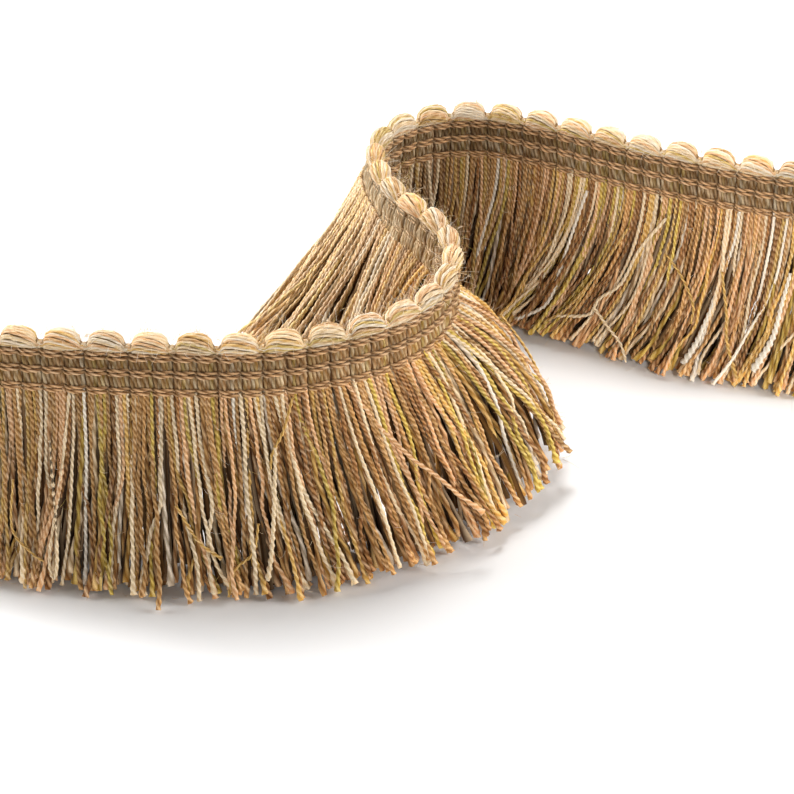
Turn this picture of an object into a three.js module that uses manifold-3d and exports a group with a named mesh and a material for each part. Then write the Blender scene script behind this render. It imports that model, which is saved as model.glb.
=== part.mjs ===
// Brush fringe trim: a cut length standing on its fringe in an S, with its looped edge up.
// Millimetres. The floor is z = 0, X runs along the front run and Y points away from the viewer.
import * as THREE from 'three';
import Module from 'manifold-3d';

// Repeat of the weave: one loop of the edge covers two columns of the heading
const LOOP_PITCH = 8;
const STEPS_PER_LOOP = 6;
const STEP = LOOP_PITCH / STEPS_PER_LOOP;

// Heights, measured along the heading from the middle of the loops
const LOOP_HEIGHT = 48;
const LOOP_RADIUS = 2.3;
const NECK_RADIUS = 1.15;
const LOOP_CORNERS = [-28, 32];
const LOOP_FULLNESS = 1.12;
const HEADING_FOOT = -10.5;
const WARP_ROWS = [-2.7, -5.8, -9.6];
const HOLLOWS = [-4.3, -7.7];

// Thickness of the heading
const HALF_THICK = 1.15;
const WARP_RELIEF = 0.4;
const GROOVE_DEPTH = 0.45;

// Narrow strip that carries the strands, parted from the heading's foot
const GAP = 0.3;
const STRIP_HEIGHT = 1.5;
const STRIP_HALF_THICK = 1.5;
const STRIP_STEP = 4;
const STRIP_TOP = HEADING_FOOT - GAP;
const STRIP_FOOT = STRIP_TOP - STRIP_HEIGHT;

// Strands: two layers, one on each face of the trim
const SECTIONS = 16;
const STRANDS_PER_LAYER = 8;
const STRAND_LENGTH = 37;
const ROOT_SINK = 0.4;
const ROOT_HALF_WIDTH = 0.94;
const ROOT_HALF_DEPTH = 0.6;
const ROOT_OFFSET = 0.78;
const TIP_LEAST_HALF_DEPTH = 1.1;
const LAYERS_APART = 2.4;
const STRAND_FILL = 0.42;
const MOST_HALF_WIDTH = 1.2;
const BEND_AT = 0.45;
const BEND_DEPTH_SHARE = 0.2;
const TIP_SPREAD = 1.1;
const BEND_SPREAD = 0.35;
const KITE = [[1, 0], [0, 1], [-1, 0], [0, -1]];
const KINDS = { tip: 0, bend: 1 };

// Where the trim starts in the plan, and which way it sets off in degrees
const START = { x: -93.91, y: -48.53, heading: -11.2 };

// The S in the plan: a row for each stretch, from the front run to the back run.
// length: mm along the loops. turn: degrees to the left over the stretch.
// At the end of the stretch, lean: degrees by which the heading's foot swings out to the left,
// left and right: mm by which the outermost tips stand to the left of the line of loops,
// along: mm by which the tips of both layers run ahead.
const STRETCHES = [
  { name: 'front run', length: 54, turn: 9.2, lean: 0, left: 6, right: -8.5, along: 0 },
  { name: 'front run curves back', length: 30, turn: 31.6, lean: -3, left: 3, right: -9.5, along: 0 },
  { name: 'front bend, near half', length: 28, turn: 50.4, lean: 0, left: 4, right: -19, along: -1 },
  { name: 'front bend, far half', length: 12, turn: 21.6, lean: 12, left: 7, right: -21, along: 0 },
  { name: 'foot swings over', length: 14, turn: 25.3, lean: 34, left: 16, right: -6, along: 3 },
  { name: 'middle run', length: 14, turn: -18.4, lean: 42, left: 26, right: 13, along: 2 },
  { name: 'middle run ends', length: 12, turn: -15.8, lean: 42, left: 27.5, right: 15, along: 0 },
  { name: 'back bend, near half', length: 16, turn: -46.3, lean: 24, left: 26, right: 9, along: 0 },
  { name: 'back bend, far half', length: 26, turn: -70.7, lean: 4, left: 11, right: -4.5, along: 0 },
  { name: 'back run', length: 18, turn: -7.7, lean: 0, left: 7, right: -5.5, along: 0 },
  { name: 'back run, middle', length: 20, turn: 7, lean: 0, left: 6, right: -5.5, along: 0 },
  { name: 'back run, end', length: 44, turn: 12.5, lean: 0, left: 6.5, right: -6, along: 0 },
];
const TOTAL_LENGTH = STRETCHES.reduce((sum, row) => sum + row.length, 0);
const SECTION_LENGTH = TOTAL_LENGTH / SECTIONS;

const FINISHES = {
  heading: { color: '#b08c60', roughness: 0.9, metalness: 0 },
  fringe: { color: '#b99560', roughness: 0.95, metalness: 0 },
};

const wasm = await Module();
wasm.setup();

const radians = (degrees) => (degrees * Math.PI) / 180;

// A repeatable number between -1 and 1 for a strand's index and a kind of change
function vary(index, kind) {
  const seed = 1 + index * Object.keys(KINDS).length + KINDS[kind];
  return 2 * THREE.MathUtils.seededRandom(seed) - 1;
}

// The stretch that holds a place along the trim, and how far into it that place is, from 0 to 1
function findStretch(along) {
  let start = 0;
  for (let i = 0; i < STRETCHES.length; i += 1) {
    const end = start + STRETCHES[i].length;
    if (along <= end || i === STRETCHES.length - 1) {
      return { index: i, share: (along - start) / STRETCHES[i].length };
    }
    start = end;
  }
  return null;
}

// The position and direction in the plan at a place along the line of loops
function planAt(along) {
  let { x, y } = START;
  let angle = radians(START.heading);
  const here = findStretch(along);
  for (let i = 0; i <= here.index; i += 1) {
    const row = STRETCHES[i];
    const share = i < here.index ? 1 : here.share;
    const turn = radians(row.turn) * share;
    const chord = row.length * share * (Math.sin(turn / 2) / (turn / 2 || 1) || 1);
    x += chord * Math.cos(angle + turn / 2);
    y += chord * Math.sin(angle + turn / 2);
    angle += turn;
  }
  return { x, y, angle };
}

// A column of the table, eased from the end of one stretch to the end of the next
function columnAt(column, along) {
  const here = findStretch(along);
  const to = STRETCHES[here.index][column];
  const from = here.index > 0 ? STRETCHES[here.index - 1][column] : to;
  const share = Math.min(Math.max(here.share, 0), 1);
  const eased = share * share * (3 - 2 * share);
  return from + (to - from) * eased;
}

// The heading's own axes at a place: forward, out of its left face, and up its height
function frameAt(along) {
  const { x, y, angle } = planAt(along);
  const lean = radians(columnAt('lean', along));
  const forward = new THREE.Vector3(Math.cos(angle), Math.sin(angle), 0);
  const left = new THREE.Vector3(-Math.sin(angle), Math.cos(angle), 0);
  const up = new THREE.Vector3(0, 0, 1);
  return {
    origin: new THREE.Vector3(x, y, LOOP_HEIGHT),
    forward,
    left,
    face: left.clone().multiplyScalar(Math.cos(lean)).addScaledVector(up, Math.sin(lean)),
    rise: left.clone().multiplyScalar(-Math.sin(lean)).addScaledVector(up, Math.cos(lean)),
  };
}

// A point of the heading: across its thickness to the left, and up its height
function placeOn(frame, across, height) {
  return frame.origin.clone().addScaledVector(frame.face, across).addScaledVector(frame.rise, height);
}

// Corner numbers of a flat end, from its outline as pairs of across and height
function fillOutline(outline) {
  const flat = outline.map(([across, height]) => new THREE.Vector2(across, height));
  return THREE.ShapeUtils.triangulateShape(flat, []);
}

// A closed solid skinned over rings of points. Each ring runs the same way round, seen along
// the skin's direction, and the first outline fills both ends.
function skinRings(rings, endOutline) {
  const size = rings[0].length;
  const triangles = [];
  for (let i = 0; i + 1 < rings.length; i += 1) {
    for (let j = 0; j < size; j += 1) {
      const next = (j + 1) % size;
      const near = i * size;
      const far = near + size;
      triangles.push([near + j, near + next, far + next], [near + j, far + next, far + j]);
    }
  }
  const last = (rings.length - 1) * size;
  for (const [a, b, c] of fillOutline(endOutline)) {
    triangles.push([a, c, b], [last + a, last + b, last + c]);
  }
  const mesh = new wasm.Mesh({
    numProp: 3,
    vertProperties: new Float32Array(rings.flat().flatMap((point) => point.toArray())),
    triVerts: new Uint32Array(outward(rings.flat(), triangles).flat()),
  });
  return new wasm.Manifold(mesh);
}

// The same triangles, turned over if they enclose a negative volume
function outward(points, triangles) {
  let volume = 0;
  for (const [a, b, c] of triangles) {
    volume += points[a].dot(points[b].clone().cross(points[c]));
  }
  return volume > 0 ? triangles : triangles.map(([a, b, c]) => [a, c, b]);
}

// A named mesh of a solid, with its own material
function toMesh(name, solid, finish) {
  const { vertProperties, triVerts, numProp } = solid.getMesh();
  const geometry = new THREE.BufferGeometry();
  const positions = new Float32Array((vertProperties.length / numProp) * 3);
  for (let i = 0; i < positions.length / 3; i += 1) {
    positions.set(vertProperties.subarray(i * numProp, i * numProp + 3), i * 3);
  }
  geometry.setAttribute('position', new THREE.BufferAttribute(positions, 3));
  geometry.setIndex(new THREE.BufferAttribute(new Uint32Array(triVerts), 1));
  geometry.computeVertexNormals();
  const mesh = new THREE.Mesh(geometry, new THREE.MeshStandardMaterial(finish));
  mesh.name = name;
  return mesh;
}

// The outline of the heading at one step of the repeat, as pairs of across and height.
// The face is drawn in at the grooves between columns, and the edge at the necks between loops.
function headingOutline(step) {
  const inLoop = step % STEPS_PER_LOOP;
  const inGroove = inLoop % (STEPS_PER_LOOP / 2) === 0;
  const face = HALF_THICK - (inGroove ? GROOVE_DEPTH : 0);
  const bulge = Math.sqrt(Math.sin((Math.PI * inLoop) / STEPS_PER_LOOP));
  const radius = NECK_RADIUS + (LOOP_RADIUS - NECK_RADIUS) * bulge;
  const [firstRow, secondRow, thirdRow] = WARP_ROWS;
  const rightSide = [
    [face, HEADING_FOOT],
    [HALF_THICK + WARP_RELIEF, thirdRow],
    [face, HOLLOWS[1]],
    [HALF_THICK + WARP_RELIEF, secondRow],
    [face, HOLLOWS[0]],
    [HALF_THICK + WARP_RELIEF, firstRow],
  ];
  for (const degrees of LOOP_CORNERS) {
    const corner = radians(degrees);
    rightSide.push([LOOP_FULLNESS * radius * Math.cos(corner), radius * Math.sin(corner)]);
  }
  const leftSide = rightSide.map(([across, height]) => [-across, height]).reverse();
  return [...rightSide, [0, radius], ...leftSide];
}

// One woven band: columns of weft, three rows of warp across them and the looped upper edge
function makeHeading() {
  const steps = Math.round(TOTAL_LENGTH / STEP);
  const rings = [];
  for (let step = 0; step <= steps; step += 1) {
    const frame = frameAt(step * STEP);
    rings.push(headingOutline(step).map(([across, height]) => placeOn(frame, across, height)));
  }
  return skinRings(rings, headingOutline(0));
}

// The strip of one section, from one place along the trim to another
function makeStrip(from, to) {
  const outline = [
    [STRIP_HALF_THICK, STRIP_FOOT],
    [STRIP_HALF_THICK, STRIP_TOP],
    [-STRIP_HALF_THICK, STRIP_TOP],
    [-STRIP_HALF_THICK, STRIP_FOOT],
  ];
  const steps = Math.round((to - from) / STRIP_STEP);
  const rings = [];
  for (let step = 0; step <= steps; step += 1) {
    const frame = frameAt(from + ((to - from) * step) / steps);
    rings.push(outline.map(([across, height]) => placeOn(frame, across, height)));
  }
  return skinRings(rings, outline);
}

// Half the depth of a strand at its tip: the wider the skirt opens, the deeper each strand is,
// so that the two layers fill it as the yarns between them do
function tipHalfDepth(along) {
  const opening = columnAt('left', along) - columnAt('right', along);
  return Math.max(TIP_LEAST_HALF_DEPTH, (opening - LAYERS_APART) / 4);
}

// The middle line of a strand: its root in the strip, where it leaves the strip, its bend, and its
// tip, which is as low as the strand reaches at its slant
function strandLine(along, side, index) {
  const frame = frameAt(along);
  const leave = placeOn(frame, side * ROOT_OFFSET, STRIP_FOOT);
  const outermost = columnAt(side > 0 ? 'left' : 'right', along);
  const reach = outermost - side * tipHalfDepth(along) + TIP_SPREAD * vary(index, 'tip');
  const tip = frame.origin.clone().addScaledVector(frame.left, reach);
  tip.addScaledVector(frame.forward, columnAt('along', along));
  const throwOut = Math.hypot(tip.x - leave.x, tip.y - leave.y);
  tip.z = Math.max(0, leave.z - Math.sqrt(STRAND_LENGTH ** 2 - throwOut ** 2));
  const straightOn = leave.clone().addScaledVector(frame.rise, -STRAND_LENGTH * BEND_AT);
  const bend = new THREE.QuadraticBezierCurve3(leave, straightOn, tip).getPoint(0.5);
  bend.addScaledVector(frame.left, BEND_SPREAD * vary(index, 'bend'));
  return { root: leave.clone().addScaledVector(frame.rise, ROOT_SINK), bend, tip };
}

// The way to the next strand of the layer, level, and half the width that leaves a gap before it
function roomAlong(before, after) {
  const forward = after.clone().sub(before).setZ(0);
  const halfWidth = Math.min(forward.length() * STRAND_FILL, MOST_HALF_WIDTH);
  return { forward: forward.normalize(), halfWidth };
}

// One strand: four-sided, from its root in the strip, over a bend, to a level cut tip
function makeStrand(along, side, index, spacing) {
  const { forward, left, face } = frameAt(along);
  const { root, bend, tip } = strandLine(along, side, index);
  const before = strandLine(along - spacing / 2, side, index);
  const after = strandLine(along + spacing / 2, side, index);
  const atBend = roomAlong(before.bend, after.bend);
  const atTip = roomAlong(before.tip, after.tip);
  const bendHalfDepth = THREE.MathUtils.lerp(ROOT_HALF_DEPTH, tipHalfDepth(along), BEND_DEPTH_SHARE);
  const rings = [
    kite(root, forward, face, ROOT_HALF_WIDTH, ROOT_HALF_DEPTH),
    kite(bend, atBend.forward, left, atBend.halfWidth, bendHalfDepth),
    kite(tip, atTip.forward, left, atTip.halfWidth, tipHalfDepth(along)),
  ];
  return skinRings(rings, KITE);
}

// The four corners of a strand's section, in the order of KITE
function kite(centre, forward, left, halfWidth, halfDepth) {
  return [
    centre.clone().addScaledVector(forward, halfWidth),
    centre.clone().addScaledVector(left, halfDepth),
    centre.clone().addScaledVector(forward, -halfWidth),
    centre.clone().addScaledVector(left, -halfDepth),
  ];
}

// One section of the skirt: its strip with both layers of strands rooted in it
function makeSkirt(section) {
  const from = section * SECTION_LENGTH;
  const to = from + SECTION_LENGTH;
  let solid = makeStrip(from + GAP / 2, to - GAP / 2);
  const spacing = SECTION_LENGTH / STRANDS_PER_LAYER;
  for (const side of [1, -1]) {
    for (let i = 0; i < STRANDS_PER_LAYER; i += 1) {
      const index = (section * 2 + (side > 0 ? 0 : 1)) * STRANDS_PER_LAYER + i;
      solid = solid.add(makeStrand(from + (i + 0.5) * spacing, side, index, spacing));
    }
  }
  return solid;
}

const group = new THREE.Group();
group.name = 'brush_fringe_trim';
group.add(toMesh('heading_band', makeHeading(), FINISHES.heading));
for (let section = 0; section < SECTIONS; section += 1) {
  const name = `fringe_skirt_${String(section + 1).padStart(2, '0')}`;
  group.add(toMesh(name, makeSkirt(section), FINISHES.fringe));
}

export default group;
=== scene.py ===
"""A cut length of brush fringe trim, standing on its cut yarns in an S, yarn by yarn."""

import math

import bpy
import numpy as np
from bpy.props import FloatProperty, FloatVectorProperty, IntProperty, PointerProperty
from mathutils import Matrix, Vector


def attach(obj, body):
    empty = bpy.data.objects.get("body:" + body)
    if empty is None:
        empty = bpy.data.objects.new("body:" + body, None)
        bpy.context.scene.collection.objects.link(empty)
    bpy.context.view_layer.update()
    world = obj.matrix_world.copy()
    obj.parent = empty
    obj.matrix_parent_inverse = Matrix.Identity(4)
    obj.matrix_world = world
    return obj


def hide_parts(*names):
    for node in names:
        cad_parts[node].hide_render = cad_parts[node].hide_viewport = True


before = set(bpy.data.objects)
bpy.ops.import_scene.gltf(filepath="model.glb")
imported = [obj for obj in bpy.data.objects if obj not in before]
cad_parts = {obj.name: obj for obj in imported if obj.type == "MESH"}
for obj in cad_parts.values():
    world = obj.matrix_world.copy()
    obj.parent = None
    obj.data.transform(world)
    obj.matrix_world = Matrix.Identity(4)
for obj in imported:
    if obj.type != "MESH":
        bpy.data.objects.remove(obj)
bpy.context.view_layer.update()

bl_info = {
    "name": "Brush fringe trim",
    "version": (1, 0, 0),
    "blender": (4, 5, 0),
    "location": "3D View > Sidebar > Fringe",
    "description": "Builds a brush fringe trim from its weave, its loops and its cut yarns",
    "category": "Mesh",
}

MM = 0.001
BODY = "root"
# Waves along a yarn start by chance, within this many radians
PHASE_SPREAD = 6

# The S in the plan: a row for each stretch from the front run to the back run. Length in mm along
# the loops, turn to the left in degrees, and at the end of the stretch: lean of the heading's foot
# to the left in degrees, in mm how far left of the line of loops the outermost tips of each face
# stand and how far ahead the tips run, how full the yarns bulge out before they droop, the share
# of cream in the yarns, partly a painted highlight where the run faces the light, and the painted
# light and shade of the skirt, which makes it lighter or darker by stretch
STRETCH_COLUMNS = ("length", "turn", "lean", "left", "right", "ahead", "bulge", "paleness", "painted_light")
STRETCHES = (
    (10, 1.7, 0, 6, -9.8, -1.5, 0.05, 0, 0.86),
    (24, 4.09, 0, 6, -12.2, -1.5, 0.05, 0, 0.86),
    (20, 3.41, 0, 6, -12.2, 4.5, 0.1, 0.03, 0.9),
    (30, 31.6, -3, 3, -12.8, 8, 0.4, 0.05, 1.12),
    (28, 50.4, 0, 4, -22.2, 9.5, 0.8, 0.08, 1.15),
    (12, 21.6, 8, 7, -20.2, 7.5, 0.9, 0.1, 1.15),
    (6, 10.84, 12, 11, -19, 6, 0.9, 0.15, 1.1),
    (8, 14.46, 16, 16, -6, 3, 0.3, 0.3, 1),
    (14, -18.4, 18, 27, 13, 2, 0.12, 0.5, 1.02),
    (12, -15.8, 16, 28, 15, 0, 0.18, 0.52, 1.05),
    (8, -23.15, 12, 24, 8, 0, 0.15, 0.48, 0.95),
    (8, -23.15, 8, 12, 3, 0, 0.1, 0.3, 0.72),
    (26, -70.7, 3, 8, -6.5, -6, 0, 0.05, 0.9),
    (18, -7.7, 0, 7, -9.2, -12, 0, 0.1, 1.08),
    (14, 4.9, 0, 6, -7.2, -10, 0, 0.1, 1.08),
    (14, 4.37, 0, 6, -9, -8, 0, 0.1, 1.08),
    (36, 10.23, 0, 6.5, -7.5, -2, 0, 0.1, 1.08),
)
START_X = -93.91 * MM
START_Y = -48.53 * MM
START_HEADING = math.radians(-11.2)

# How much of the fringe is of each colour
YARN_SHARES = {
    "tan": 0.27,
    "brown": 0.14,
    "gold": 0.14,
    "peach": 0.14,
    "olive": 0.08,
    "cream": 0.15,
    "white": 0.08,
}
# Loops are lighter and less mixed than the skirt, their extra cream and white partly a painted highlight on
# their lit tops
LOOP_SHARES = {"tan": 0.05, "gold": 0.10, "peach": 0.16, "olive": 0.09, "cream": 0.38, "white": 0.22}


def millimetres(name, description, default):
    """A length of the trim that a user may change, with its default in millimetres."""
    return FloatProperty(name=name, description=description, default=default * MM, unit="LENGTH")


def yarn_colour(name, description, default):
    """A colour of yarn that a user may change."""
    return FloatVectorProperty(name=name, description=description, default=default, size=3, subtype="COLOR")


class TrimSizes(bpy.types.PropertyGroup):
    """Real sizes of the trim, in metres."""

    loop_pitch: millimetres("Loop pitch", "From one loop to the next", 8)
    loop_height: millimetres("Loop height", "Middle of the loops over the floor", 48)
    loop_radius: millimetres("Loop radius", "Half the height of a loop", 2.3)
    heading_foot: millimetres("Heading foot", "Foot of the heading under the loops", -10.5)
    half_thick: millimetres("Half thickness", "Half the thickness of the heading", 1.15)
    strand_root: millimetres("Strand root", "Where the solids' strands leave their strip", -12.3)
    strand_length: millimetres("Strand length", "Length of a strand under the strip", 37)
    yarn_width: millimetres("Yarn width", "Width of a twisted yarn", 0.92)
    ply_length: millimetres("Ply length", "Length of one ply's turn over the yarn", 1.45)
    warp_width: millimetres("Warp width", "Width of a warp thread", 0.78)
    yarns_in_column: IntProperty(
        name="Yarns in a column", description="Yarns side by side on both faces", default=11, min=4
    )


class YarnColours(bpy.types.PropertyGroup):
    """Colours of the yarns."""

    tan: yarn_colour("Tan", "Main yarn", (0.57, 0.345, 0.145))
    brown: yarn_colour("Brown", "Darkest yarn", (0.38, 0.195, 0.072))
    gold: yarn_colour("Gold", "Golden yarn", (0.70, 0.47, 0.17))
    peach: yarn_colour("Peach", "Pinkish yarn", (0.79, 0.52, 0.30))
    olive: yarn_colour("Olive", "Yellow-green yarn", (0.62, 0.46, 0.125))
    cream: yarn_colour("Cream", "Cream yarn", (0.92, 0.76, 0.54))
    white: yarn_colour("White", "Cool white yarn", (0.90, 0.82, 0.70))
    warp: yarn_colour("Warp", "Warp threads", (0.62, 0.38, 0.19))
    # The ground's dark colour is painted shade, which shows between the weft columns and inside the loops
    ground: yarn_colour("Ground", "Inside of the heading", (0.17, 0.078, 0.03))


class StageSettings(bpy.types.PropertyGroup):
    """Camera, floor and light."""

    lens: FloatProperty(name="Lens", description="Focal length in mm on a 36 mm sensor", default=117.86)
    pitch: FloatProperty(
        name="Pitch", description="Camera's tilt under the horizon", default=math.radians(31.05),
        subtype="ANGLE"
    )
    place: FloatVectorProperty(
        name="Camera place", description="Camera's place", default=(-0.0061, -0.458, 0.2798), size=3,
        subtype="XYZ", unit="LENGTH"
    )
    floor_colour: FloatVectorProperty(
        name="Floor", description="Pale floor", default=(0.93, 0.93, 0.93), size=3, subtype="COLOR"
    )
    sky: FloatProperty(name="Sky", description="Strength of the light all round", default=0.05)
    power: FloatProperty(name="Power", description="Power of the lights, as a share of their own", default=1)


def sizes():
    """The trim's sizes, as the scene holds them."""
    return bpy.context.scene.trim_sizes


def colours():
    """The yarns' colours, as the scene holds them."""
    return bpy.context.scene.yarn_colours


def stretch_column(name):
    """One column of the table of stretches, as an array."""
    return np.array([row[STRETCH_COLUMNS.index(name)] for row in STRETCHES], dtype=float)


LENGTHS = stretch_column("length") * MM
ENDS = np.cumsum(LENGTHS)
TOTAL_LENGTH = float(ENDS[-1])


def find_stretch(along):
    """The stretch that holds each place, and the share of it that lies before the place."""
    index = np.clip(np.searchsorted(ENDS, along, side="left"), 0, len(LENGTHS) - 1)
    share = (along - (ENDS - LENGTHS)[index]) / LENGTHS[index]
    return index, share


def column_at(name, along):
    """A column of the table, eased from the end of one stretch to the end of the next."""
    index, share = find_stretch(np.asarray(along, dtype=float))
    values = stretch_column(name)
    before = np.where(index > 0, values[np.maximum(index - 1, 0)], values[index])
    share = np.clip(share, 0, 1)
    return before + (values[index] - before) * share * share * (3 - 2 * share)


def plan_at(along):
    """Position and direction in the plan at each place along the line of loops."""
    along = np.asarray(along, dtype=float)
    turns = np.radians(stretch_column("turn"))
    headings = START_HEADING + np.concatenate([[0], np.cumsum(turns)[:-1]])

    def chord(index, share):
        half = turns[index] * share / 2
        length = LENGTHS[index] * share * np.sinc(half / math.pi)
        return length * np.cos(headings[index] + half), length * np.sin(headings[index] + half)

    all_rows = np.arange(len(LENGTHS))
    step_x, step_y = chord(all_rows, np.ones(len(LENGTHS)))
    start_x = START_X + np.concatenate([[0], np.cumsum(step_x)[:-1]])
    start_y = START_Y + np.concatenate([[0], np.cumsum(step_y)[:-1]])
    index, share = find_stretch(along)
    ahead_x, ahead_y = chord(index, share)
    return start_x[index] + ahead_x, start_y[index] + ahead_y, headings[index] + turns[index] * share


class Axes:
    """The heading's own axes at each place: forward, out of its left face, and up its height."""

    def __init__(self, along):
        x, y, angle = plan_at(along)
        lean = np.radians(column_at("lean", along))
        nothing = np.zeros_like(x)
        up = np.stack([nothing, nothing, nothing + 1], axis=-1)
        self.origin = np.stack([x, y, nothing + sizes().loop_height], axis=-1)
        self.forward = np.stack([np.cos(angle), np.sin(angle), nothing], axis=-1)
        self.left = np.stack([-np.sin(angle), np.cos(angle), nothing], axis=-1)
        self.face = self.left * np.cos(lean)[..., None] + up * np.sin(lean)[..., None]
        self.rise = up * np.cos(lean)[..., None] - self.left * np.sin(lean)[..., None]

    def place(self, across, height):
        """Points across the heading's thickness to the left, and up its height."""
        across = np.asarray(across, dtype=float)[..., None]
        height = np.asarray(height, dtype=float)[..., None]
        return self.origin + self.face * across + self.rise * height


def unit(vectors):
    """Vectors scaled to a length of one."""
    return vectors / np.maximum(np.linalg.norm(vectors, axis=-1, keepdims=True), 1e-12)


class StrandMesh:
    """Gathers strands, each a tube of rings, into one mesh with colours and a strip of UV each."""

    UV_NAME = "OFBake"
    # The colour attribute holds each yarn's colour with painted light and shade laid in: highlights on crowns
    # and lit runs, shade in grooves, dips, cores and under the loops
    COLOUR_NAME = "yarn_colour"
    # Each strand has a strip of the UV square, and its two ends a small disc over the strip
    STRIP_MARGIN = 0.04
    STRIP_FOOT = 0.01
    STRIP_HEIGHT = 0.95
    DISC_MIDDLE = (0.5, 0.985)
    DISC_SIZE = (0.3, 0.006)

    def __init__(self, name):
        self.name = name
        self.points = []
        self.shades = []
        self.count = 0
        self.strips = []

    def add(self, lines, guides, wide, thin, turn, shades, corners=4):
        """Strands along lines (n, m, 3). guides gives the first axis of each section, wide and
        thin its half sizes, turn its angle at each ring and shades the colour of each corner."""
        n, m, _ = lines.shape
        tangent = unit(np.gradient(lines, axis=1))
        guides = np.broadcast_to(guides, lines.shape)
        first = unit(guides - tangent * np.sum(guides * tangent, axis=-1, keepdims=True))
        second = np.cross(tangent, first)
        corner_angle = np.arange(corners) * (2 * math.pi / corners)
        wide = np.broadcast_to(wide, (n, m))[..., None]
        thin = np.broadcast_to(thin, (n, m))[..., None]
        turn = np.broadcast_to(turn, (n, m))[..., None]
        flat_x = wide * np.cos(corner_angle)
        flat_y = thin * np.sin(corner_angle)
        over_first = flat_x * np.cos(turn) - flat_y * np.sin(turn)
        over_second = flat_x * np.sin(turn) + flat_y * np.cos(turn)
        ring = lines[:, :, None] + over_first[..., None] * first[:, :, None]
        ring = ring + over_second[..., None] * second[:, :, None]
        self.points.append(ring.reshape(-1, 3))
        self.shades.append(np.broadcast_to(shades, (n, m, corners, 3)).reshape(-1, 3))
        steps = np.diff(turn[:, :, 0], axis=1)
        self.strips.append((self.count, n, m, corners, bool(np.mean(steps) > 0)))
        self.count += n * m * corners

    def _triangles(self, first, n, m, corners, turned_left):
        """Corner numbers and UV of the sides and both ends of one group of strands."""
        strand, ring, side = np.meshgrid(np.arange(n), np.arange(m - 1), np.arange(corners), indexing="ij")
        near = first + (strand * m + ring) * corners
        far = near + corners
        after = (side + 1) % corners
        here, there = near + side, near + after
        here_on, there_on = far + side, far + after
        onward = (0, 0, 1, 0, 1, 1)
        if turned_left:
            order = (here, there, here_on, there, there_on, here_on)
            across = (0, 1, 0, 1, 1, 0)
        else:
            order = (here, there, there_on, here, there_on, here_on)
            across = (0, 1, 1, 0, 1, 0)
        sides = np.stack(order, axis=-1).reshape(-1, 3)
        width = 1 - 2 * self.STRIP_MARGIN
        u = [(strand + self.STRIP_MARGIN + width * (side + a) / corners) / n for a in across]
        v = [self.STRIP_FOOT + self.STRIP_HEIGHT * (ring + o) / (m - 1) for o in onward]
        side_uv = np.stack([np.stack(u, axis=-1), np.stack(v, axis=-1)], axis=-1).reshape(-1, 2)
        fan = np.array([(0, k, k + 1) for k in range(1, corners - 1)])
        heads = first + (np.arange(n) * m)[:, None, None] * corners + fan[:, ::-1]
        tails = first + (np.arange(n) * m + m - 1)[:, None, None] * corners + fan
        around = np.arange(corners) * (2 * math.pi / corners)
        disc = np.stack([np.cos(around), np.sin(around)], axis=-1) * self.DISC_SIZE + self.DISC_MIDDLE

        def end_uv(fans):
            uv = np.broadcast_to(disc[fans], (n,) + fans.shape + (2,)).copy()
            uv[..., 0] = (uv[..., 0] + np.arange(n)[:, None, None]) / n
            return uv.reshape(-1, 2)

        corners_all = np.concatenate([sides, heads.reshape(-1, 3), tails.reshape(-1, 3)])
        return corners_all, np.concatenate([side_uv, end_uv(fan[:, ::-1]), end_uv(fan)])

    def build(self, material):
        """The mesh object, smooth, with its colours, its UV and its material."""
        groups = len(self.strips)
        triangles, uv = [], []
        for place, strip in enumerate(self.strips):
            corners, flat = self._triangles(*strip)
            triangles.append(corners)
            uv.append(flat * (1, 1 / groups) + (0, place / groups))
        triangles = np.concatenate(triangles).astype(np.int32)
        points = np.concatenate(self.points).astype(np.float32)
        shades = np.concatenate(self.shades).astype(np.float32)
        mesh = bpy.data.meshes.new(self.name)
        mesh.vertices.add(len(points))
        mesh.vertices.foreach_set("co", points.ravel())
        mesh.loops.add(triangles.size)
        mesh.loops.foreach_set("vertex_index", triangles.ravel())
        mesh.polygons.add(len(triangles))
        mesh.polygons.foreach_set("loop_start", np.arange(0, triangles.size, 3, dtype=np.int32))
        mesh.update(calc_edges=True)
        mesh.polygons.foreach_set("use_smooth", np.ones(len(triangles), dtype=bool))
        layer = mesh.uv_layers.new(name=self.UV_NAME)
        layer.data.foreach_set("uv", np.concatenate(uv).astype(np.float32).ravel())
        colour = mesh.color_attributes.new(self.COLOUR_NAME, "FLOAT_COLOR", "POINT")
        alpha = np.ones((len(shades), 1), dtype=np.float32)
        colour.data.foreach_set("color", np.hstack([shades, alpha]).ravel())
        mesh.materials.append(material)
        piece = bpy.data.objects.new(self.name, mesh)
        bpy.context.scene.collection.objects.link(piece)
        return piece


def dress(piece, slot, *nodes):
    """Makes a piece ride with the trim and stand for CAD nodes. Its slot is not used."""
    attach(piece, BODY)
    if nodes:
        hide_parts(*nodes)


def pick_colours(rng, count, shares):
    """A colour for each of a number of yarns, by the shares, as rows of red, green and blue."""
    names = list(shares)
    weights = np.array([shares[name] for name in names])
    table = np.array([list(getattr(colours(), name)) for name in names])
    return table[rng.choice(len(names), size=count, p=weights / weights.sum())]


# The lightest that cloth can be, and the share of cream that the right face takes, as the cream is partly a
# painted highlight that falls mostly on the left face
LIGHTEST = 0.93
RIGHT_FACE_PALENESS = 0.3
# The most cream that one of a yarn's two plies takes, partly a real difference of ply and partly a
# paler painted highlight, the power that makes the painted shade in the groove between them deeper
# and redder, and how far a yarn's tone drifts from its start to its end
PALE_PLY = 0.28
GROOVE_SHADE_POWER = 1.85
TONE_DRIFT = 0.0735


def keep_below(shades, top=LIGHTEST):
    """Colours scaled down where they would be lighter than cloth can be, with their hue kept."""
    highest = shades.max(axis=-1, keepdims=True)
    return shades * np.minimum(1, top / np.maximum(highest, 1e-6))


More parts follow.
